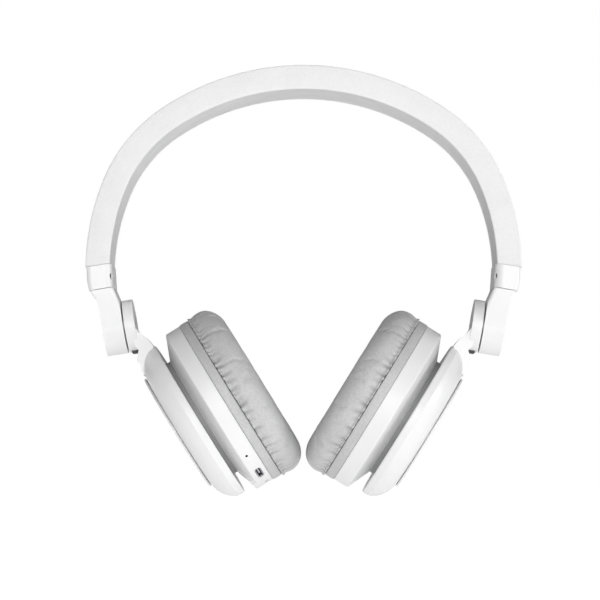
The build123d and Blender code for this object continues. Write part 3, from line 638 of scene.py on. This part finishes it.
class Cup:
    """Axis and measures of one ear cup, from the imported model."""

    def __init__(self, side, sign):
        self.side = side
        self.inward = Vector(mounts[f"{side}_ear_face"]["axis"]).normalized()
        self.centre = Vector(joints[f"{side}_turn"]["pos_m"])
        self.front = Vector((0, -1, 0))
        self.down = self.inward.cross(self.front) * -sign
        self.body = f"{side}_cup"

    def span(self, node):
        """(least radius, greatest radius, least depth, greatest depth) of a node about the cup's axis."""
        points = np.array([v.co for v in frame["nodes"][node].data.vertices]) - np.array(self.centre)
        depth = points @ np.array(self.inward)
        radius = np.linalg.norm(points - depth[:, None] * np.array(self.inward), axis=1)
        return radius.min(), radius.max(), depth.min(), depth.max()

    def place(self, radius, angle, depth):
        """Points in the frame from radius, angle (from the front, down) and depth from the ball joint."""
        radius, angle, depth = np.broadcast_arrays(radius, angle, depth)
        out = np.array(self.centre) + depth[..., None] * np.array(self.inward)
        out = out + (radius * np.cos(angle))[..., None] * np.array(self.front)
        return out + (radius * np.sin(angle))[..., None] * np.array(self.down)


CUSHION_COLUMNS = 480
OUTLINE_POINTS = 1200
SEAM_RADIUS_DROP = 0.5 * MM
SEAM_LIFT = 0.05 * MM
# Spacing of the outline's points: fine at the seam, coarser over the face and at the back.
SPACING_FROM = (0, 8 * MM, 13 * MM, 48 * MM, 60 * MM)
SPACING = (0.35 * MM, 0.45 * MM, 0.95 * MM, 0.95 * MM, 2.2 * MM, 1.2 * MM)

# Gathers and creases: how many, and their least and greatest length, depth and width in millimetres.
GATHERS = 112
GATHER_LENGTH = (1.1, 3.0)
GATHER_DEPTH = (0.26, 0.55)
GATHER_WIDTH = (0.32, 0.46)
GATHER_SLANT = 0.08
GATHER_JITTER = 0.22
CREASES = 46
CREASE_LENGTH = (2.6, 5.6)
CREASE_DEPTH = (0.4, 0.8)
CREASE_WIDTH = (0.42, 0.66)
CREASE_SLANT = 0.10
# Places of the deepest creases in degrees from the front, downward; the others keep clear of them.
DEEP_CREASES = (-52, -48, -44, -40, -37, -23, -19, -13, -9, -2, 5, 9, 14, 19, 27, 35)
FREE_STRETCH = (math.radians(40), 2 * math.pi - math.radians(58))
CREASE_SPACING = math.radians(4)
CREASE_RADIUS = 38 * MM
CREASE_REACH = 26 * MM
# Valley depth at which the painted shade in a crease is darkest.
FULL_SHADE_DEPTH = 0.7 * MM
RIDGE_SHARE = 0.4
RIDGE_RISE = 1.2 * MM
SEAM_RISE = 0.4 * MM
SEAM_SHARE = 0.35

SIMULATION_SCALE = 10.0
SIMULATION_FRAMES = 20
MOVEMENT_CAP = 0.9 * MM
SEAM_HOLD = 0.85
SLACK_REACH = 9 * MM
HELD_DEPTH = 0.4 * MM
HELD_REACH = 0.2 * MM
SKIN = {
    "quality": 5, "mass": 0.25, "tension_stiffness": 22, "compression_stiffness": 22, "shear_stiffness": 8,
    "bending_stiffness": 0.35, "air_damping": 2.0, "use_pressure": True, "uniform_pressure_force": 4.0,
    "vertex_group_mass": "held", "vertex_group_shrink": "slack", "shrink_min": 0.0, "shrink_max": -0.03,
}

FLANGE_STEP = 0.45 * MM
FLANGE_SWELL = 0.12 * MM
FLANGE_GAP = 0.08 * MM
FLANGE_TOP_GAP = 0.02 * MM
FLANGE_ROUNDS = (0.35 * MM, 0.25 * MM, 0.2 * MM, 0.2 * MM)
# Width of the painted shade along each rolled edge of the flange.
FLANGE_SHADE_REACH = 0.5 * MM


def cushion_outline(inner, outer, low, high):
    """Cross-section of an ear cushion as (radius, depth): seam, bulged side, crowned face, rolled opening."""
    tall = high - low
    curve = smooth_curve([
        (outer - SEAM_RADIUS_DROP, low + 0.08 * MM),
        (outer - 0.55 * MM, low + 0.12 * tall),
        (outer + 0.05 * MM, low + 0.30 * tall),
        (outer + 0.15 * MM, low + 0.47 * tall),
        (outer - 0.35 * MM, low + 0.67 * tall),
        (outer - 2.2 * MM, low + 0.865 * tall),
        (outer - 5.0 * MM, low + 0.965 * tall),
        (outer - 9.0 * MM, high + 0.1 * MM),
        (inner + 6.0 * MM, high - 0.05 * MM),
        (inner + 2.2 * MM, low + 0.86 * tall),
        (inner + 0.4 * MM, low + 0.6 * tall),
        (inner + 0.2 * MM, low + 0.3 * tall),
        (inner + 1.4 * MM, low + 0.1 * MM),
        ((inner + outer) / 2, low + SEAM_LIFT),
    ], OUTLINE_POINTS)
    steps = np.r_[0, np.cumsum(np.linalg.norm(np.diff(curve, axis=0), axis=1))]
    spacing = np.interp(steps, [*SPACING_FROM, steps[-1]], SPACING)
    density = np.r_[0, np.cumsum(np.diff(steps) / spacing[1:])]
    rows = int(density[-1])
    pick = np.interp(np.linspace(0, density[-1], rows, endpoint=False), density, np.arange(len(curve)))
    return curve[np.round(pick).astype(int)]


def crease_field(angles, reach):
    """Height of the gathers along a cushion's seam and of the longer creases, and the painted shade that darkens
    their valleys.
    """
    draw = np.random.default_rng(4)
    turn = 2 * math.pi
    middles = (np.arange(GATHERS) + draw.uniform(-GATHER_JITTER, GATHER_JITTER, GATHERS)) * turn / GATHERS
    gathers = [(m, draw.uniform(*GATHER_LENGTH) * MM, draw.uniform(*GATHER_DEPTH) * MM,
                draw.uniform(*GATHER_WIDTH) * MM, draw.normal(0, GATHER_SLANT)) for m in middles]
    spots = [math.radians(a) for a in DEEP_CREASES]
    while len(spots) < CREASES:
        spot = draw.uniform(*FREE_STRETCH)
        if min(abs((spot - other + math.pi) % turn - math.pi) for other in spots) > CREASE_SPACING:
            spots.append(spot)
    creases = [(m, draw.uniform(*CREASE_LENGTH) * MM, draw.uniform(*CREASE_DEPTH) * MM,
                draw.uniform(*CREASE_WIDTH) * MM, draw.normal(0, CREASE_SLANT)) for m in spots]
    height = np.zeros(np.broadcast_shapes(angles.shape, reach.shape))
    crease_shade = np.zeros_like(height)
    rise = np.clip(reach / RIDGE_RISE, 0, 1)
    for middle, length, deep, wide, slant in gathers + creases:
        away = (angles - middle + math.pi) % turn - math.pi
        across = away * CREASE_RADIUS - slant * reach
        fade = np.exp(-(np.maximum(reach, 0) / length) ** 2)
        spread = wide * (1 + 0.7 * np.clip(reach / length, 0, 2))
        valley = np.exp(-(across / spread) ** 2)
        ridge = np.exp(-((np.abs(across) - 2.0 * spread) / (1.1 * spread)) ** 2)
        height += fade * deep * (RIDGE_SHARE * ridge * rise - valley)
        # Painted shade: the deeper a valley, the darker its colour.
        crease_shade += fade * valley * deep / FULL_SHADE_DEPTH
    return height, np.clip(crease_shade, 0, 1)


def fill_with_air(piece, held, slack):
    """Let the skin swell and settle under pressure, held points fixed and slack ones a little loose."""
    mesh = piece.data
    rest = np.array([v.co for v in mesh.vertices])
    mesh.vertices.foreach_set("co", (rest * SIMULATION_SCALE).ravel())
    mesh.update()
    pins = piece.vertex_groups.new(name="held")
    pins.add([int(i) for i in np.flatnonzero(held)], 1.0, "REPLACE")
    loose = piece.vertex_groups.new(name="slack")
    for level in np.unique(np.round(slack, 1)):
        loose.add([int(i) for i in np.flatnonzero(np.round(slack, 1) == level)], float(level), "REPLACE")
    cloth = piece.modifiers.new("skin", "CLOTH")
    for key, value in SKIN.items():
        setattr(cloth.settings, key, value)
    cloth.settings.effector_weights.gravity = 0.0
    cloth.collision_settings.use_collision = False
    cloth.point_cache.frame_start = 1
    cloth.point_cache.frame_end = SIMULATION_FRAMES
    scene = bpy.context.scene
    for frame_number in range(1, SIMULATION_FRAMES + 1):
        scene.frame_set(frame_number)
    settled = piece.evaluated_get(bpy.context.evaluated_depsgraph_get()).to_mesh()
    moved = np.array([v.co for v in settled.vertices]) / SIMULATION_SCALE - rest
    far = np.linalg.norm(moved, axis=1)
    allowed = MOVEMENT_CAP * (1 - SEAM_HOLD * slack)
    share = np.minimum(1, allowed / np.maximum(far, 1e-9))
    piece.modifiers.remove(cloth)
    piece.vertex_groups.clear()
    scene.frame_set(1)
    mesh.vertices.foreach_set("co", (rest + moved * share[:, None]).ravel())
    mesh.update()


def make_left_cushion(cup, paints):
    """The left cushion's skin, gathered along its seam and filled by simulation."""
    inner, outer, low, high = cup.span(f"{cup.side}_cushion")
    outline = cushion_outline(inner, outer, low, high)
    rows = len(outline)
    normals = outline_normals(outline)
    steps = np.r_[0, np.cumsum(np.linalg.norm(np.diff(outline, axis=0), axis=1))]
    reach = steps[:, None] * np.ones(CUSHION_COLUMNS)[None, :]
    angles = np.linspace(0, 2 * math.pi, CUSHION_COLUMNS, endpoint=False)[None, :]
    height, crease_shade = crease_field(angles, reach)
    side = (reach < CREASE_REACH) * np.clip(reach / SEAM_RISE + SEAM_SHARE, 0, 1)
    radius = outline[:, 0][:, None] + normals[:, 0][:, None] * height * side
    depth = outline[:, 1][:, None] + normals[:, 1][:, None] * height * side
    depth = np.maximum(depth, low + SEAM_LIFT)
    points = cup.place(radius, angles, depth).reshape(-1, 3)
    piece = add_mesh("left_cushion_skin", points, grid_faces(rows, CUSHION_COLUMNS, True))
    turn_outward(piece)
    # Painted shade in the creases' valleys, near the seam only.
    set_painted_shade(piece, (crease_shade * (reach < CREASE_REACH)).ravel())
    under = (outline[:, 1] < low + HELD_DEPTH) | (steps < HELD_REACH)
    near_seam = np.clip(1 - reach / SLACK_REACH, 0, 1)
    fill_with_air(piece, np.repeat(under, CUSHION_COLUMNS), near_seam.ravel())
    round_off(piece)
    piece.data.materials.append(paints["cushion_leatherette"])
    return piece


def round_off(piece):
    """One level of subdivision, applied."""
    modifier = piece.modifiers.new("rounding", "SUBSURF")
    modifier.levels = 1
    modifier.render_levels = 1
    finer = bpy.data.meshes.new_from_object(piece.evaluated_get(bpy.context.evaluated_depsgraph_get()))
    piece.modifiers.remove(modifier)
    piece.data = finer


def mirrored_copy(piece, name):
    """The same mesh on the other side of X = 0."""
    mesh = piece.data.copy()
    points = np.array([v.co for v in mesh.vertices])
    points[:, 0] *= -1
    mesh.vertices.foreach_set("co", points.ravel())
    mesh.flip_normals()
    mesh.update()
    twin = bpy.data.objects.new(name, mesh)
    bpy.context.scene.collection.objects.link(twin)
    return twin


def fit_cushion(piece, cup):
    """Put a cushion's skin on its cup."""
    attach(piece, cup.body)
    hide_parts(f"{cup.side}_cushion")


def make_flange(cup, paints):
    """The leatherette-wrapped ring between the housing and the cushion, rolled over at both edges, with painted
    shade along them.
    """
    inner, outer, low, high = cup.span(f"{cup.side}_cushion_flange")
    bottom, top = low + FLANGE_GAP, high - FLANGE_TOP_GAP
    corners = [(outer, bottom), (outer, top), (inner, top), (inner, bottom)]
    outline = refine(rounded_outline(corners, FLANGE_ROUNDS), FLANGE_STEP)
    normals = outline_normals(outline)
    side = np.abs(outline[:, 0] - outer) < 2 * TOLERANCE
    middle, half = (low + high) / 2, (high - low) / 2
    swell = FLANGE_SWELL * np.clip(1 - ((outline[:, 1] - middle) / half) ** 2, 0, 1) * side
    angles = np.linspace(0, 2 * math.pi, CUSHION_COLUMNS, endpoint=False)[None, :]
    radius = (outline[:, 0] + normals[:, 0] * swell)[:, None]
    depth = (outline[:, 1] + normals[:, 1] * swell)[:, None]
    points = cup.place(radius, angles, depth).reshape(-1, 3)
    piece = add_mesh(f"{cup.side}_flange_skin", points, grid_faces(len(outline), CUSHION_COLUMNS, True))
    turn_outward(piece)
    # Painted shade: darker towards both rolled edges, where the ring meets the housing and the cushion.
    to_edge = np.minimum(np.abs(outline[:, 1] - low), np.abs(outline[:, 1] - high))
    edge_shade = np.clip(1 - to_edge / FLANGE_SHADE_REACH, 0, 1)
    set_painted_shade(piece, np.repeat(edge_shade, CUSHION_COLUMNS))
    piece.data.materials.append(paints["flange_leatherette"])
    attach(piece, cup.body)
    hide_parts(f"{cup.side}_cushion_flange")


# ---------------------------------------------------------------- carried-over CAD pieces


def paint_nodes(paints):
    """Give every CAD piece the material of its slot."""
    slots = {s["node"]: s["material_slot"] for s in frame["record"]["subparts"]}
    for name, node in frame["nodes"].items():
        node.data.materials.clear()
        node.data.materials.append(paints[slots[name]])


make_studio()
paints = make_materials()
paint_nodes(paints)
make_band_cover(paints)
make_band_pad(paints)
cups = {side: Cup(side, sign) for side, sign in SIDES}
for cup in cups.values():
    make_flange(cup, paints)
left_cushion = make_left_cushion(cups["left"], paints)
right_cushion = mirrored_copy(left_cushion, "right_cushion_skin")
fit_cushion(left_cushion, cups["left"])
fit_cushion(right_cushion, cups["right"])
